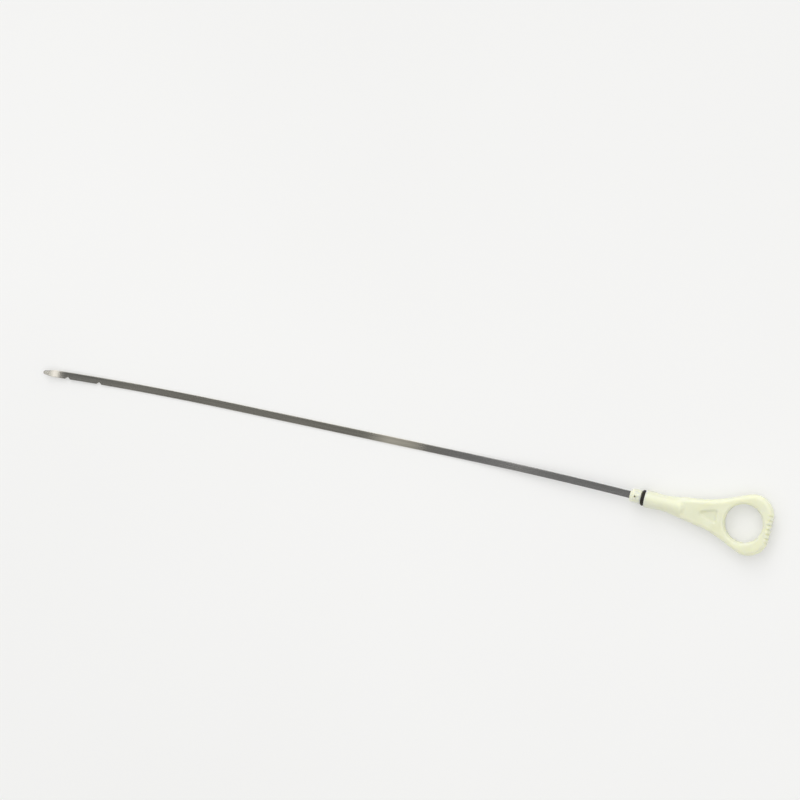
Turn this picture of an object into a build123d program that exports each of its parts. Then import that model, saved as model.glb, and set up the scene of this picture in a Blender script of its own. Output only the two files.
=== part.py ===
"""Engine oil dipstick: a flat spring steel blade with two level notches, a finger ring handle of
natural nylon moulded over the blade's tang, and a rubber sealing ring on the handle's nose.

The dipstick lies on a level surface at Z = 0, with its handle's face up. X runs from the blade's
tip to the handle's end, and the handle's axis is parallel to X.
"""

import os
from math import asin, atan, cos, degrees, radians, sin

from build123d import *

# Overall size (mm)
overall_length = 530.0
handle_length = 98.0

# Blade: a strip that lies on the surface in its middle and bows gently towards both ends
blade_width = 5.0
blade_thickness = 1.0
tang_length = 28.0
tang_hole_station = 22.0
tang_hole_radius = 1.2
nose_bow_run = 90.0
nose_bow_turn = 2.2
tip_bow_length = 130.0
tip_bow_turn = 2.7
droop_run = 150.0
curl_run = 66.0
curl_rise = 1.9
tip_bend_length = 13.0
tip_bend_turn = 6.0
tip_bend_radius = 20.0
tip_taper = 6.0
tip_end_radius = 1.4

# Level notches, punched in one edge of the blade and measured from its tip
low_notch_station = 18.0
high_notch_station = 41.5
notch_width = 3.8
notch_depth = 1.5
notch_root_radius = 0.3

# Sealing ring and its groove
seal_cord = 2.4
seal_outer_radius = 5.5
seal_station = 8.9
seal_clearance = 0.02
groove_side_room = 0.15

# Turned core of the handle, its stations measured from the front of the nose
nose_radius = 4.8
nose_lead_length = 2.0
nose_lead_drop = 0.8
pin_hole_station = 3.6
pin_hole_radius = 0.65
collar_radius = 6.0
collar_length = 4.2
collar_chamfer = 0.4
waist_radius = 5.2
waist_length = 8.0
waist_round = 30.0
barrel_radius = 6.4
barrel_taper_length = 8.8
barrel_land = 4.4
shoulder_length = 4.6
shoulder_drop = 2.9
shoulder_round = 3.0
junction_round = 2.5

# Paddle of the handle: neck, flank and ring, before its corners are rounded. The waist bend, where
# the neck turns into the flank, is measured from the handle's end
paddle_thickness = 9.0
paddle_front = 25.0
paddle_front_width = 10.4
waist_bend_reach = 40.6
waist_bend_width = 21.6
paddle_end_width = 56.0
front_corner_radius = 4.0
waist_bend_radius = 60.0
ring_corner_radius = 14.0
paddle_edge_radius = 3.0

# Finger hole
finger_hole_radius = 13.0
ring_end_wall = 5.7
finger_hole_round = 2.1

# Recess between the neck and the finger hole, on both faces
recess_front = 43.5
recess_width = 12.4
recess_web = 5.0
recess_depth = 1.2
recess_draft = 55.0
recess_corner_radius = 2.3

# Grip ribs: grooves of half hexagon section that wrap over the handle's end
grip_groove_radius = 0.6
grip_groove_pitch = 3.1
grip_groove_count = 7
grip_groove_lift = 0.1
grip_run_out = 0.3

# Places that follow from the sizes
tip_x = -overall_length / 2
end_x = overall_length / 2
nose_x = end_x - handle_length
axis_height = barrel_radius
blade_lie = blade_thickness / 2
hole_station = handle_length - ring_end_wall - finger_hole_radius
waist_bend_station = handle_length - waist_bend_reach
groove_floor_radius = seal_outer_radius - seal_cord - seal_clearance
groove_front = seal_station - seal_cord / 2 - groove_side_room
groove_rear = seal_station + seal_cord / 2 + groove_side_room
collar_rear = groove_rear + collar_length
waist_station = collar_rear + waist_length
barrel_front = waist_station + barrel_taper_length
barrel_rear = barrel_front + barrel_land
shoulder_rear = barrel_rear + shoulder_length
grip_sweep_radius = paddle_thickness / 2 + grip_groove_radius + grip_run_out

# Planes of the handle: its level middle plane and its upright side plane, both from the nose's front
handle_plan = Plane(origin=(nose_x, 0, axis_height))
handle_side = Plane(origin=(nose_x, 0, axis_height), x_dir=(1, 0, 0), z_dir=(0, -1, 0))
handle_axis = Axis((nose_x, 0, axis_height), (1, 0, 0))

os.makedirs("parts", exist_ok=True)

# Blade: the plan of the strip and its side view, each drawn as a middle line of straight runs and
# tangent arcs with an even width, meet in one solid. Its plan narrows to a smaller round at the tip
tip_bow_radius = tip_bow_length / radians(tip_bow_turn)
tip_heading = nose_bow_turn + tip_bow_turn
tip_centre_x = tip_x + tip_end_radius + tip_taper * cos(radians(tip_heading))
tip_bow_x = tip_centre_x + tip_bow_radius * (sin(radians(tip_heading)) - sin(radians(nose_bow_turn)))
nose_bow_radius = nose_bow_run / sin(radians(nose_bow_turn))
straight_run = (nose_x - nose_bow_run - tip_bow_x) / cos(radians(nose_bow_turn))

droop = axis_height - blade_lie
droop_turn = 2 * degrees(atan(droop / droop_run))
droop_radius = droop_run / (2 * sin(radians(droop_turn)))
curl_turn = 2 * degrees(atan(curl_rise / curl_run))
curl_radius = curl_run / sin(radians(curl_turn))
curl_x = tip_x + tip_bend_length + curl_run

with BuildPart() as blade:
    with BuildSketch():
        with BuildLine():
            tang = Line((nose_x + tang_length - blade_width / 2, 0), (nose_x, 0))
            nose_bow = JernArc(tang @ 1, tang % 1, nose_bow_radius, nose_bow_turn)
            straight = PolarLine(nose_bow @ 1, straight_run, direction=nose_bow % 1)
            tip_bow = JernArc(straight @ 1, straight % 1, tip_bow_radius, tip_bow_turn)
            offset(amount=blade_width / 2, side=Side.BOTH)
        make_face()
    extrude(amount=2 * axis_height)

    with BuildSketch(Plane(tip_bow @ 1, x_dir=tip_bow % 1, z_dir=(0, 0, 1))):
        Circle(blade_width / 2)
        with Locations((tip_taper, 0)):
            Circle(tip_end_radius)
        make_hull()
    extrude(amount=2 * axis_height)

    with BuildSketch(Plane.XZ):
        with BuildLine():
            shank = Line((nose_x + tang_length, axis_height), (nose_x, axis_height))
            droop_down = JernArc(shank @ 1, shank % 1, droop_radius, droop_turn)
            droop_level = JernArc(droop_down @ 1, droop_down % 1, droop_radius, -droop_turn)
            belly = Line(droop_level @ 1, (curl_x, blade_lie))
            curl = JernArc(belly @ 1, belly % 1, curl_radius, -curl_turn)
            bend = JernArc(curl @ 1, curl % 1, tip_bend_radius, -tip_bend_turn)
            PolarLine(bend @ 1, tip_bend_length, direction=bend % 1)
            offset(amount=blade_thickness / 2, side=Side.BOTH)
        make_face()
    extrude(amount=overall_length / 2, both=True, mode=Mode.INTERSECT)

    for station in (low_notch_station, high_notch_station):
        along = 1 - (station - tip_end_radius - tip_taper) / tip_bow_length
        edge = blade_width / 2
        with BuildSketch(Plane(tip_bow @ along, x_dir=tip_bow % along, z_dir=(0, 0, 1))) as notch:
            with BuildLine():
                Polyline(
                    (-notch_width, edge + notch_depth),
                    (0, edge - notch_depth),
                    (notch_width, edge + notch_depth),
                    close=True,
                )
            make_face()
            fillet(notch.vertices().sort_by(Axis.Y)[0], notch_root_radius)
        extrude(amount=2 * axis_height, mode=Mode.SUBTRACT)

    with BuildSketch(Plane.XY):
        with Locations((nose_x + tang_hole_station, 0)):
            Circle(tang_hole_radius)
    extrude(amount=2 * axis_height, mode=Mode.SUBTRACT)

blade.part.label = "blade"
export_step(blade.part, "parts/blade.step")

# Handle: a rounded paddle with a finger ring, joined to a turned core and moulded over the tang
with BuildPart() as handle:
    with BuildSketch(handle_plan) as paddle:
        with BuildLine():
            Polyline(
                (paddle_front, -paddle_front_width / 2),
                (waist_bend_station, -waist_bend_width / 2),
                (handle_length, -paddle_end_width / 2),
                (handle_length, paddle_end_width / 2),
                (waist_bend_station, waist_bend_width / 2),
                (paddle_front, paddle_front_width / 2),
                close=True,
            )
        make_face()
        fillet(paddle.vertices().group_by(Axis.X)[-1], ring_corner_radius)
        fillet(paddle.vertices().group_by(Axis.X)[1], waist_bend_radius)
        fillet(paddle.vertices().group_by(Axis.X)[0], front_corner_radius)
        with Locations((hole_station, 0)):
            Circle(finger_hole_radius, mode=Mode.SUBTRACT)
    extrude(amount=paddle_thickness / 2, both=True)
    rims = handle.faces().filter_by(Axis.Z)
    fillet([edge for face in rims for edge in face.outer_wire().edges()], paddle_edge_radius)
    rims = handle.faces().filter_by(Axis.Z)
    fillet([edge for face in rims for edge in face.inner_wires().edges()], finger_hole_round)

    # Nose with its lead, seal groove, stop collar, waist, tapered barrel and the shoulder that runs into
    # the paddle with a soft junction
    with BuildSketch(handle_side) as core:
        with BuildLine():
            FilletPolyline(
                (0, 0),
                (0, nose_radius - nose_lead_drop),
                (nose_lead_length, nose_radius),
                (groove_front, nose_radius),
                (groove_front, groove_floor_radius),
                (groove_rear, groove_floor_radius),
                (groove_rear, collar_radius - collar_chamfer),
                (groove_rear + collar_chamfer, collar_radius),
                (collar_rear, collar_radius),
                (waist_station, waist_radius),
                (barrel_front, barrel_radius),
                (barrel_rear, barrel_radius),
                (shoulder_rear, barrel_radius - shoulder_drop),
                (shoulder_rear, 0),
                radius=[0, 0, 0, 0, 0, 0, 0, 0, waist_round, waist_round, waist_round, shoulder_round, 0, 0],
                close=True,
            )
        make_face()
    revolve(axis=handle_axis)
    fillet(handle.edges(Select.NEW), junction_round)

    # Triangular recess on both faces, its wide side concentric with the finger hole
    recess_rear_radius = finger_hole_radius + recess_web
    recess_rear_angle = degrees(asin(recess_width / 2 / recess_rear_radius))
    for side in (1, -1):
        face_height = axis_height + side * paddle_thickness / 2
        with BuildSketch(Plane((nose_x, 0, face_height), x_dir=(1, 0, 0), z_dir=(0, 0, side))) as recess:
            with BuildLine():
                rear = CenterArc(
                    (hole_station, 0), recess_rear_radius, 180 - recess_rear_angle, 2 * recess_rear_angle
                )
                Polyline(rear @ 1, (recess_front, 0), rear @ 0)
            make_face()
            fillet(recess.vertices(), recess_corner_radius)
        extrude(amount=-recess_depth, taper=recess_draft, mode=Mode.SUBTRACT)

    # Grip grooves that wrap over the end
    grip_x = end_x - grip_sweep_radius + grip_groove_lift
    with BuildSketch(Plane((grip_x, 0, axis_height + grip_sweep_radius), x_dir=(0, 1, 0), z_dir=(1, 0, 0))):
        with GridLocations(grip_groove_pitch, grip_groove_pitch, grip_groove_count, 1):
            RegularPolygon(grip_groove_radius, 6)
    revolve(axis=Axis((grip_x, 0, axis_height), (0, 1, 0)), revolution_arc=180, mode=Mode.SUBTRACT)

    # Holes left by the pins that hold the blade in the mould, and the room that the tang fills
    with BuildSketch(handle_plan):
        with Locations((pin_hole_station, 0)):
            Circle(pin_hole_radius)
    extrude(amount=nose_radius, both=True, mode=Mode.SUBTRACT)
    add(blade.part, mode=Mode.SUBTRACT)

handle.part.label = "handle"
export_step(handle.part, "parts/handle.step")

# Sealing ring: a plain round cord ring that sits in the groove
with BuildPart() as o_ring:
    with BuildSketch(handle_side):
        with Locations((seal_station, seal_outer_radius - seal_cord / 2)):
            Circle(seal_cord / 2)
    revolve(axis=handle_axis)

o_ring.part.label = "o_ring"
export_step(o_ring.part, "parts/o_ring.step")
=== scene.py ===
# %% [markdown]
# # An engine oil dipstick on a studio table
# A dipstick has three pieces: a long strip of spring steel, a nylon finger ring handle moulded over
# the strip's end, and a rubber sealing ring. The solid model is loaded first as a fixed frame, and
# each step then dresses one piece. All lengths below are written in millimetres and become metres
# when a mesh is made, because Blender's unit is the metre.

# %% Load the frame
import math

import bmesh
import bpy
import numpy as np
from mathutils import Matrix, Vector


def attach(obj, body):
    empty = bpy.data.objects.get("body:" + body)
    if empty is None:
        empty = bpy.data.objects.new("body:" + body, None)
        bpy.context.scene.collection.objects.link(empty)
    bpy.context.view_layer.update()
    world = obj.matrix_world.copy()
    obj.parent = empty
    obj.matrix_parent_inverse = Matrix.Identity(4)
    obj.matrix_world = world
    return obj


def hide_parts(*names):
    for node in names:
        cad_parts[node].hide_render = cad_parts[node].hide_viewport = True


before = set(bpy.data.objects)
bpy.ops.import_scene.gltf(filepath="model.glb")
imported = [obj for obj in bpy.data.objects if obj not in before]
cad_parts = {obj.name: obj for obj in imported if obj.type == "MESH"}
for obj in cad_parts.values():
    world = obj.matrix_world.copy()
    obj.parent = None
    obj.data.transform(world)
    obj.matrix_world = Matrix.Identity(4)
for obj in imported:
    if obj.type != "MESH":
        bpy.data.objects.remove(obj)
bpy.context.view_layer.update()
MM = 0.001
print("nodes:", sorted(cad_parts))

# %% [markdown]
# ## Camera
# The picture looks down on the dipstick from almost overhead, with a long lens, so that the far tip
# is hardly smaller than the handle. A camera can be turned by angles, but three directions are easier
# to check: where it looks, which way is right in the picture, and the third at right angles to both.

# %% Camera
camera_spot = Vector((481.0, 220.0, 2013.2)) * MM
camera_aim = Vector((-6.3, 23.8, 0.0)) * MM
picture_right = Vector((0.9431, 0.2194, -0.2497))

look = (camera_aim - camera_spot).normalized()
right = (picture_right - look * picture_right.dot(look)).normalized()
up = right.cross(look)
camera = bpy.data.objects.new("camera", bpy.data.cameras.new("camera"))
camera.data.sensor_width = 36.0
camera.data.lens = 135.0
camera.data.clip_end = 100.0
turn = Matrix((right, up, -look)).transposed()
camera.matrix_world = Matrix.Translation(camera_spot) @ turn.to_4x4()
bpy.context.scene.collection.objects.link(camera)
bpy.context.scene.camera = camera
print("camera is", round((camera_aim - camera_spot).length, 3), "m from the table")

# %% [markdown]
# ## Helpers for surfaces
# A surface worked out with numpy is a grid of points, one row per station along the piece and one
# column per point of its outline. Each small square of the grid becomes one face. The same helper
# makes every new piece, so they all get smooth shading, welded seams and faces that point outwards.


# %% Helpers for surfaces
weld_distance = 0.002 * MM


def grid_faces(rows, columns):
    """Squares between neighbouring rows, where the last column closes on the first."""
    row = np.arange(rows - 1)[:, None] * columns
    column = np.arange(columns)[None, :]
    beside = (column + 1) % columns
    square = [row + column, row + columns + column, row + columns + beside, row + beside]
    return np.stack(square, axis=-1).reshape(-1, 4)


def make_piece(name, points, faces, sharp_angle, marks=None):
    """A mesh object from points in mm, welded, pointing outwards and smooth up to an angle."""
    mesh = bpy.data.meshes.new(name)
    mesh.from_pydata((points.reshape(-1, 3) * MM).tolist(), [], faces.tolist())
    if marks is not None:
        kept = mesh.attributes.new("strip_place", "FLOAT_VECTOR", "POINT")
        kept.data.foreach_set("vector", (marks * MM).astype(np.float32).ravel())
    shape = bmesh.new()
    shape.from_mesh(mesh)
    bmesh.ops.remove_doubles(shape, verts=shape.verts, dist=weld_distance)
    bmesh.ops.holes_fill(shape, edges=[edge for edge in shape.edges if edge.is_boundary])
    bmesh.ops.recalc_face_normals(shape, faces=shape.faces)
    shape.to_mesh(mesh)
    loose = sum(not edge.is_manifold for edge in shape.edges)
    shape.free()
    mesh.shade_smooth()
    mesh.set_sharp_from_angle(angle=math.radians(sharp_angle))
    piece = bpy.data.objects.new(name, mesh)
    bpy.context.scene.collection.objects.link(piece)
    print(name, "has", len(mesh.polygons), "faces and", loose, "open edges")
    return piece


# %% [markdown]
# ## Middle line of the blade
# The blade is a strip that lies on the table in its middle, climbs to the handle's nose at one end
# and curls up a little at its tip. It could be drawn as a curve object with a bevel. Here its slopes
# are written down at a few stations instead, and adding them up along the strip gives its height and
# its sideways bow, as bending a real strip does.

# %% Middle line of the blade
tip_x, nose_x, tang_x = -265.0, 167.0, 195.0
axis_height = 6.4
strip_half_width = 2.5
strip_half_thickness = 0.5

rise_at = [tip_x, -254.1, -252.0, -186.0, 17.0, 92.0, nose_x, tang_x]
rise = np.tan(np.radians([-9.8, -8.8, -3.3, 0.0, 0.0, 4.498, 0.0, 0.0]))
bow_at = [tip_x, -257.6, -127.9, 77.0, nose_x, tang_x]
bow = np.tan(np.radians([4.9, 4.9, 2.2, 2.2, 0.0, 0.0]))
fine_steps = 20000


def middle_line(x):
    """Sideways place and height at x: the slopes added up from the tang back to x."""
    fine = np.linspace(tang_x, tip_x, fine_steps + 1)
    step = fine[1] - fine[0]
    slopes = np.stack([np.interp(fine, bow_at, bow), np.interp(fine, rise_at, rise)])
    added = np.cumsum((slopes[:, 1:] + slopes[:, :-1]) / 2 * step, axis=1)
    added = np.concatenate([np.zeros((2, 1)), added], axis=1)
    side = np.interp(x, fine[::-1], added[0, ::-1])
    height = np.interp(x, fine[::-1], axis_height + added[1, ::-1])
    return side, height


tip_side, tip_height = middle_line(np.array([tip_x]))
print("tip is", round(float(tip_side[0]), 2), "mm aside and", round(float(tip_height[0]), 2), "mm up")

# %% [markdown]
# ## Outline of the blade
# The real blade is punched from strip: two straight edges that narrow to a small round tip, and two V
# notches in one edge that mark the oil levels. Seen from above, the outline is a small circle at the
# tip, a straight taper and a large circle that it meets, as a belt lies round two wheels. Every
# point of it also gets the direction that faces out, so that the edges can be rounded later.

# %% Outline of the blade
tip_end_radius = 1.4
tip_taper = 6.0
notch_stations = (18.0, 41.5)
notch_half_width = 1.9
notch_depth = 1.5
notch_root = 0.25
notch_surround = 2.2
tip_points, belt_points, notch_points, edge_points = 22, 6, 45, 320


def blade_outline():
    """Along, half width and outward direction: tip circle, taper, belt arc, then the straight edge."""
    lean = math.asin((strip_half_width - tip_end_radius) / tip_taper)
    belt_centre = tip_end_radius + tip_taper
    tip_turn = np.linspace(0, math.pi / 2 - lean, tip_points)
    belt_turn = np.linspace(math.pi / 2 - lean, math.pi / 2, belt_points)
    around_notch = np.linspace(-notch_surround, notch_surround, notch_points)
    near_notches = [station + around_notch for station in notch_stations]
    even = np.linspace(belt_centre, tang_x - tip_x, edge_points)
    edge = np.unique(np.round(np.concatenate([even, *near_notches]), 5))[1:]
    along = np.concatenate([
        tip_end_radius * (1 - np.cos(tip_turn)),
        belt_centre - strip_half_width * np.cos(belt_turn),
        edge,
    ])
    half = np.concatenate([
        tip_end_radius * np.sin(tip_turn),
        strip_half_width * np.sin(belt_turn),
        edge * 0 + strip_half_width,
    ])
    turn = np.concatenate([tip_turn, belt_turn, edge * 0 + math.pi / 2])
    return along, half, -np.cos(turn), np.sin(turn)


def notch_cut(along):
    """Depth of the V notches at a distance along from the tip, with softly rounded roots."""
    cut = np.zeros_like(along)
    for station in notch_stations:
        off = np.sqrt((along - station) ** 2 + notch_root**2) - notch_root
        cut = np.maximum(cut, notch_depth * (1 - off / (notch_half_width - notch_root)))
    return np.clip(cut, 0, None)


outline_along, outline_half, outline_back, outline_out = blade_outline()
print("outline has", len(outline_along), "stations over", round(outline_along[-1], 1), "mm")

# %% [markdown]
# ## Blade
# A cube with bevels could stand for the strip, but the notches would need cuts. As a surface, the strip
# is one cross section carried along the middle line: flat above and below, with edges that tumbling
# has broken a little. A notch is only a place where one half of the width gets smaller. Each point
# also keeps its place on the flat strip, because the rolling lines of the steel will follow it.

# %% Blade
edge_round = 0.16


def strip_section(flat, corner):
    """Across share, inset and height of the strip's cross section, once round anticlockwise."""
    run = np.linspace(1, -1, flat)
    arc = np.radians(np.linspace(0, 90, corner))[1:-1]
    inset = edge_round * (1 - np.cos(arc))
    lift = strip_half_thickness - edge_round * (1 - np.sin(arc))
    wall = np.array([strip_half_thickness - edge_round, 0.0, -strip_half_thickness + edge_round])
    top = np.stack([run, run * 0 + edge_round, run * 0 + strip_half_thickness])
    far = np.stack([
        np.concatenate([arc * 0 - 1, wall * 0 - 1, arc * 0 - 1]),
        np.concatenate([inset[::-1], wall * 0, inset]),
        np.concatenate([lift[::-1], wall, -lift]),
    ])
    turned = np.array([[-1], [1], [-1]])
    return np.concatenate([top, far, top * turned, far * turned], axis=1)


def blade_surface():
    """The section at each station, its edge set in along the outline's outward direction."""
    share, inset, height = strip_section(flat=9, corner=6)
    along, half = outline_along[:, None], outline_half[:, None]
    station = along - inset * outline_back[:, None]
    cut = np.where(share < 0, notch_cut(along), 0.0)
    across = share * (half - inset * outline_out[:, None] - cut)
    side, lie = middle_line(tip_x + station)
    points = np.stack([tip_x + station, side + across, lie + height], axis=-1)
    marks = np.stack([station, across, height + 0 * across], axis=-1)
    return points, marks


blade_points, blade_marks = blade_surface()
blade_faces = grid_faces(*blade_points.shape[:2])
blade = make_piece("steel_blade", blade_points, blade_faces, sharp_angle=50, marks=blade_marks)
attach(blade, "root")
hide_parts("blade")

# %% [markdown]
# ## Sealing ring
# The seal is a plain ring of round rubber cord. Blender has a torus of its own, but the surface is
# a short formula: a small circle carried round a large one. A moulded ring also has a hair line
# where the two halves of its mould met, so the small circle swells a little at its outer and inner edge.

# %% Sealing ring
seal_station = 175.9
seal_cord_radius = 1.2
seal_outer_radius = 5.5
mould_line = 0.02
mould_line_spread = 0.06


def seal_surface(around, section):
    """A circle of cord radius carried round the handle's axis, a hair wider on the mould line."""
    turn = np.linspace(0, 2 * np.pi, around)[:, None]
    angle = np.linspace(0, 2 * np.pi, section, endpoint=False)[None, :]
    line = mould_line * np.exp(-((np.sin(angle) / mould_line_spread) ** 2))
    radius = seal_cord_radius - mould_line + line
    out = seal_outer_radius - seal_cord_radius + radius * np.cos(angle)
    x = seal_station + radius * np.sin(angle) + 0 * turn
    return np.stack([x, out * np.cos(turn), axis_height + out * np.sin(turn)], axis=-1)


seal_points = seal_surface(around=129, section=64)
seal_faces = grid_faces(*seal_points.shape[:2])
seal = make_piece("sealing_ring", seal_points, seal_faces, sharp_angle=60)
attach(seal, "root")
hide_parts("o_ring")

# %% [markdown]
# ## Helpers for materials
# Every finish below is a small node tree that ends in one Principled shader. The helpers add a node,
# set its values and join its inputs, which keeps each finish to a few readable lines. An input may be
# given as a plain value or as the output of another node.


# %% Helpers for materials
def join(tree, value, socket):
    """Put a value on a socket, or join another node's output to it."""
    if isinstance(value, bpy.types.NodeSocket):
        tree.links.new(value, socket)
    else:
        socket.default_value = value


def add_node(tree, kind, settings=None, **inputs):
    """A node of a kind, with its settings set and its inputs joined by name."""
    node = tree.nodes.new(kind)
    for key, value in (settings or {}).items():
        setattr(node, key, value)
    for key, value in inputs.items():
        join(tree, value, node.inputs[key.replace("_", " ")])
    return node


def ramp(tree, factor, stops):
    """A colour that runs through stops of (place, colour), where a single number stands for a grey."""
    node = add_node(tree, "ShaderNodeValToRGB", Fac=factor)
    elements = node.color_ramp.elements
    while len(elements) < len(stops):
        elements.new(0.5)
    for element, (place, colour) in zip(elements, stops):
        element.position = place
        element.color = (*colour, 1.0) if isinstance(colour, tuple) else (colour, colour, colour, 1.0)
    return node.outputs["Color"]


def span(tree, value, low, high):
    """A value from 0 to 1 spread over low to high."""
    return add_node(tree, "ShaderNodeMapRange", Value=value, To_Min=low, To_Max=high).outputs["Result"]


def maths(tree, operation, *values):
    """One step of arithmetic on the given values."""
    node = add_node(tree, "ShaderNodeMath", {"operation": operation})
    for value, socket in zip(values, node.inputs):
        join(tree, value, socket)
    return node.outputs[0]


def mix_colours(tree, factor, first, second, kind="MIX"):
    """The first colour, mixed by a factor with the second."""
    node = add_node(tree, "ShaderNodeMix", {"data_type": "RGBA", "blend_type": kind})
    for value, place in ((factor, 0), (first, 6), (second, 7)):
        join(tree, value, node.inputs[place])
    return node.outputs[2]


def new_finish(name, **inputs):
    """A material with its tree and its Principled shader, whose plain values are set by name."""
    finish = bpy.data.materials.new(name)
    finish.use_nodes = True
    shader = finish.node_tree.nodes["Principled BSDF"]
    for key, value in inputs.items():
        shader.inputs[key.replace("_", " ")].default_value = value
    return finish, finish.node_tree, shader


def wear(piece, finish):
    """Give a piece one finish."""
    piece.data.materials.clear()
    piece.data.materials.append(finish)
    print(piece.name, "wears", finish.name, "with", len(finish.node_tree.nodes), "nodes")


# %% [markdown]
# ## Nylon of the handle
# Undyed nylon is a pale greenish cream. Light goes a little way into it, so edges glow and shadows
# stay soft, which is what subsurface scattering is for. Its satin skin has the faint grain of the
# mould, and a hair line stands where the mould's two halves met, level with the handle's axis. The
# line could be modelled, but it is only a twentieth of a millimetre high, so a bump is enough. Two
# noises do the rest: a slow one for cloudy colour and sheen, and a fine one for the grain.

# %% Nylon of the handle
nylon, tree, shader = new_finish(
    "natural_nylon", Subsurface_Weight=0.8, Subsurface_Radius=(1.0, 0.95, 0.6), Subsurface_Scale=0.006,
    IOR=1.53, Coat_Weight=0.5, Coat_Roughness=0.24,
)
place = add_node(tree, "ShaderNodeTexCoord").outputs["Object"]
cloud = add_node(tree, "ShaderNodeTexNoise", Vector=place, Scale=90.0, Detail=3.0).outputs["Fac"]
grain = add_node(tree, "ShaderNodeTexNoise", Vector=place, Scale=1400.0, Detail=2.0).outputs["Fac"]
tint = ramp(tree, cloud, [(0.3, (0.780, 0.790, 0.597)), (0.7, (0.810, 0.825, 0.650))])
height = add_node(tree, "ShaderNodeSeparateXYZ", Vector=place).outputs["Z"]
parting = maths(tree, "COMPARE", height, axis_height * MM, 0.09 * MM)
line = add_node(tree, "ShaderNodeBump", Strength=0.5, Distance=0.05 * MM, Height=parting)
skin = add_node(
    tree, "ShaderNodeBump", Strength=0.12, Distance=0.08 * MM, Height=grain,
    Normal=line.outputs["Normal"],
)
join(tree, tint, shader.inputs["Base Color"])
join(tree, span(tree, cloud, 0.36, 0.50), shader.inputs["Roughness"])
join(tree, skin.outputs["Normal"], shader.inputs["Normal"])
wear(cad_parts["handle"], nylon)

# %% [markdown]
# ## Tones along the blade
# The blade isn't the same grey all along. Its bent tip is painted bright, a painted highlight on top of
# the light it mirrors. A stretch about halfway is painted pale and ends at a line across the strip, a
# painted reflection, with a fainter pale stretch after it, and these stretches are rougher as well. A
# third ramp darkens the tip's last few millimetres and tints the tip's half brownish and the handle's
# half bluish. Each is a ramp over the distance from the tip, in metres. That distance can't be read
# from X, because the strip is bent, but the mesh keeps each point's place on the flat strip.

# %% Tones along the blade
steel, tree, shader = new_finish("spring_steel", Metallic=1.0)
strip_place = add_node(tree, "ShaderNodeAttribute", {"attribute_name": "strip_place"}).outputs["Vector"]
along = add_node(tree, "ShaderNodeSeparateXYZ", Vector=strip_place).outputs["X"]
# Painted highlight: the bent tip's steel is painted brighter, on top of the light it mirrors.
painted_tip_highlight = ramp(tree, along, [(0.004, 0.0), (0.0075, 1.0), (0.0102, 1.0), (0.0130, 0.0)])
# Painted reflection: pale bands along the strip stand in for mirrored light; they also add roughness.
painted_reflection_bands = ramp(tree, along, [
    (0.003, 0.0), (0.006, 1.0), (0.0105, 1.0), (0.0125, 0.0), (0.030, 0.0), (0.060, 0.10),
    (0.240, 0.14), (0.2565, 0.86), (0.2745, 0.68), (0.2805, 0.45), (0.2845, 0.12),
    (0.320, 0.18), (0.352, 0.48), (0.380, 0.14), (0.405, 0.10), (0.425, 0.0),
])
# Darker over the tip's last few millimetres, brownish on the tip's half, bluish on the handle's half.
tip_end_and_half_tint = ramp(tree, along, [
    (0.003, (0.80, 0.80, 0.78)), (0.0075, (0.99, 0.98, 0.95)), (0.10, (1.0, 0.985, 0.92)),
    (0.275, (1.0, 0.98, 0.92)), (0.310, (0.98, 0.99, 1.04)), (0.42, (0.98, 0.99, 1.03)),
])

# %% [markdown]
# ## Steel of the blade
# Cold rolled strip has fine lines along its length from the rolls. An image of brushed steel would
# stretch, so the lines are a noise that is squeezed across the strip and drawn out along it. They
# vary the grey, the roughness and a shallow bump together, as one scratch does on real steel. Along
# the painted reflection the strip is painted paler and made duller, and a slower noise makes faint
# oily patches.


# %% Steel of the blade
def drawn_noise(stretch, detail, roughness):
    """A noise on the flat strip, with its own count of cells per metre along, across and through it."""
    drawn = add_node(tree, "ShaderNodeMapping", Vector=strip_place, Scale=stretch).outputs["Vector"]
    noise = add_node(
        tree, "ShaderNodeTexNoise", Vector=drawn, Scale=1.0, Detail=detail, Roughness=roughness
    )
    return noise.outputs["Fac"]


lines = drawn_noise((12.0, 2600.0, 900.0), 4.0, 0.6)
patches = drawn_noise((22.0, 240.0, 240.0), 3.0, 0.5)
grey = ramp(tree, lines, [(0.25, (0.36, 0.355, 0.335)), (0.75, (0.46, 0.455, 0.43))])
# Painted reflection: the paler grey that the bands mix into the steel.
painted_reflection_grey = ramp(tree, lines, [(0.25, (0.50, 0.48, 0.43)), (0.75, (0.60, 0.58, 0.525))])
tone = mix_colours(tree, painted_reflection_bands, grey, painted_reflection_grey)
# Painted highlight colour for the tip.
tone = mix_colours(tree, painted_tip_highlight, tone, (0.79, 0.765, 0.72, 1.0))
tone = mix_colours(tree, 1.0, tone, tip_end_and_half_tint, "MULTIPLY")
smooth = maths(tree, "ADD", span(tree, lines, 0.15, 0.26), span(tree, patches, -0.03, 0.06))
bump = add_node(tree, "ShaderNodeBump", Strength=0.15, Distance=0.03 * MM, Height=lines)
join(tree, tone, shader.inputs["Base Color"])
join(tree, maths(tree, "MULTIPLY_ADD", painted_reflection_bands, 0.13, smooth), shader.inputs["Roughness"])
join(tree, bump.outputs["Normal"], shader.inputs["Normal"])
wear(blade, steel)

# %% [markdown]
# ## Rubber of the seal
# Nitrile rubber is near black, slightly brown, and satin. A fine noise stands for the bloom on its skin:
# it makes the black a touch paler and duller in spots, and nothing else is needed on a ring this small.

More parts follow.
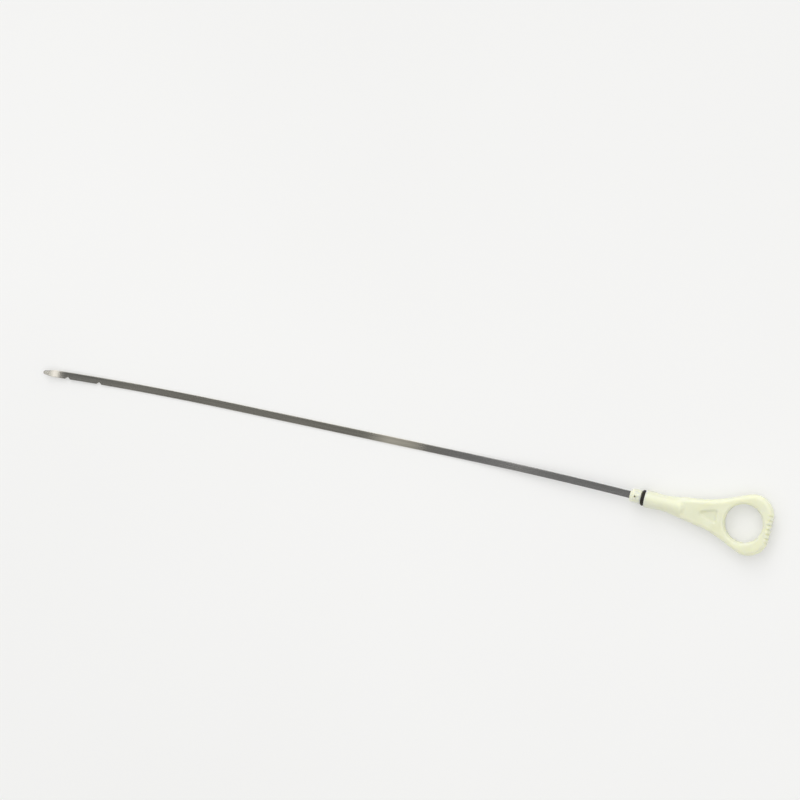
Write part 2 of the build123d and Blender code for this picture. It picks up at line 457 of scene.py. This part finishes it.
# %% Rubber of the seal
rubber, tree, shader = new_finish("seal_rubber", Specular_IOR_Level=0.25)
place = add_node(tree, "ShaderNodeTexCoord").outputs["Object"]
bloom = add_node(tree, "ShaderNodeTexNoise", Vector=place, Scale=700.0, Detail=3.0).outputs["Fac"]
black = ramp(tree, bloom, [(0.3, (0.014, 0.012, 0.009)), (0.75, (0.030, 0.026, 0.020))])
join(tree, black, shader.inputs["Base Color"])
join(tree, span(tree, bloom, 0.42, 0.60), shader.inputs["Roughness"])
wear(seal, rubber)

# %% [markdown]
# ## Table
# The table is a sheet of white paper, painted a little greyer towards its front and back, a painted
# falloff of the light. A shadow on white paper is pale, because a real room throws light back into it
# from everywhere. A part of the paper's white is therefore its own glow, but only for rays from the
# camera and from mirrors, so the glow lightens the shadow and puts no light on the dipstick.

# %% Table
table_half = 20.0
falloff_half = 0.45
glow = 0.3

paper, tree, shader = new_finish("paper", Roughness=0.9, Specular_IOR_Level=0.1)
place = add_node(tree, "ShaderNodeTexCoord").outputs["Object"]
fibre = add_node(tree, "ShaderNodeTexNoise", Vector=place, Scale=3.0, Detail=2.0).outputs["Fac"]
white = ramp(tree, fibre, [(0.3, (0.905, 0.905, 0.895)), (0.7, (0.92, 0.92, 0.91))])
across = add_node(tree, "ShaderNodeSeparateXYZ", Vector=place).outputs["Y"]
reach = add_node(tree, "ShaderNodeMapRange", Value=across, From_Min=-falloff_half, From_Max=falloff_half)
# Painted falloff: the paper is painted greyer towards front and back, where the light falls off.
painted_falloff = ramp(tree, reach.outputs["Result"], [(0.0, 0.95), (0.55, 1.0), (1.0, 0.975)])
sheet = mix_colours(tree, 1.0, white, painted_falloff, "MULTIPLY")
join(tree, sheet, shader.inputs["Base Color"])

ray = add_node(tree, "ShaderNodeLightPath").outputs
mirrored = maths(tree, "ADD", ray["Is Glossy Ray"], ray["Is Transmission Ray"])
seen = maths(tree, "ADD", ray["Is Camera Ray"], mirrored)
blend = add_node(tree, "ShaderNodeMixShader")
join(tree, maths(tree, "MULTIPLY", seen, glow), blend.inputs[0])
join(tree, shader.outputs[0], blend.inputs[1])
join(tree, add_node(tree, "ShaderNodeEmission", Color=sheet).outputs[0], blend.inputs[2])
join(tree, blend.outputs[0], tree.nodes["Material Output"].inputs["Surface"])

corners = np.array([(-1, -1, 0), (1, -1, 0), (1, 1, 0), (-1, 1, 0)]) * table_half
table_mesh = bpy.data.meshes.new("table")
table_mesh.from_pydata(corners.tolist(), [], [(0, 1, 2, 3)])
table = bpy.data.objects.new("table", table_mesh)
bpy.context.scene.collection.objects.link(table)
wear(table, paper)

# %% [markdown]
# ## Light tent
# Shiny goods are lit in a tent of white cloth, which glows softly all round. Here the tent is the
# world's colour: bright overhead, dimmer lower down, and stronger on the side of the window. A steel
# strip mirrors what is opposite, and in an even tent it would be as white as the paper. So the tent
# has a long dark opening where the blade looks, as a studio has a black card there. The bent tip
# looks past the opening's edge, which is why it alone is bright.

# %% Light tent
window_side = (-0.35, 0.94, 0.0)
handle_half_looks = (-0.200, -0.110, 0.974)
tip_half_looks = (-0.300, -0.105, 0.948)
opening_edge, opening_core = math.radians(22), math.radians(11)
opening_dark = 0.20

world = bpy.data.worlds.new("tent")
bpy.context.scene.world = world
world.use_nodes = True
tree = world.node_tree
background = tree.nodes["Background"]
direction = add_node(tree, "ShaderNodeTexCoord").outputs["Generated"]
height = add_node(tree, "ShaderNodeSeparateXYZ", Vector=direction).outputs["Z"]
cloth = ramp(tree, height, [(0.06, 0.90), (0.20, 0.52), (0.50, 0.52), (0.68, 1.0)])


def towards(aim):
    """How nearly a direction points the way of aim: their dot product, from -1 to 1."""
    node = add_node(tree, "ShaderNodeVectorMath", {"operation": "DOT_PRODUCT"})
    join(tree, direction, node.inputs[0])
    join(tree, Vector(aim).normalized(), node.inputs[1])
    return node.outputs["Value"]


window = add_node(
    tree, "ShaderNodeMapRange", Value=towards(window_side), From_Min=-1.0, To_Min=0.86, To_Max=1.28
)
blade_looks = maths(tree, "MAXIMUM", towards(handle_half_looks), towards(tip_half_looks))
opening = add_node(
    tree, "ShaderNodeMapRange", Value=blade_looks, From_Min=math.cos(opening_edge),
    From_Max=math.cos(opening_core), To_Min=1.0, To_Max=opening_dark,
)
join(tree, cloth, background.inputs["Color"])
strength = maths(tree, "MULTIPLY", window.outputs["Result"], opening.outputs["Result"])
join(tree, strength, background.inputs["Strength"])
print("tent has", len(tree.nodes), "nodes")

# %% [markdown]
# ## Lamps
# The tent alone gives hardly any shadow. Two weak lamps on the window's side, one high and one low,
# shade the rounded edges and the recess, and a third one overhead is what the bent tip mirrors. A sun
# lamp with a wide angle is as soft as a large lamp, and it lights the table evenly.


# %% Lamps
def soft_lamp(name, place, strength, spread, colour):
    """A sun lamp that shines from a direction, as wide as spread degrees."""
    lamp = bpy.data.lights.new(name, "SUN")
    lamp.energy = strength
    lamp.angle = math.radians(spread)
    lamp.color = colour
    holder = bpy.data.objects.new(name, lamp)
    holder.rotation_euler = Vector(place).to_track_quat("Z", "Y").to_euler()
    bpy.context.scene.collection.objects.link(holder)
    print(name, "lamp has strength", strength)


soft_lamp("high", (-0.25, 0.55, 1.0), 0.25, 40, (1.0, 1.0, 0.99))
soft_lamp("low", (-0.8, 1.8, 1.2), 0.50, 30, (1.0, 1.0, 1.0))
soft_lamp("tip", (0.10, -0.11, 1.0), 0.14, 12, (1.0, 0.98, 0.94))

# %% [markdown]
# ## Finish
# The plain view setting shows colours as they are written. The dressed model must stay inside the box of
# the solid model.

# %% Finish
bpy.context.scene.view_settings.view_transform = "Standard"
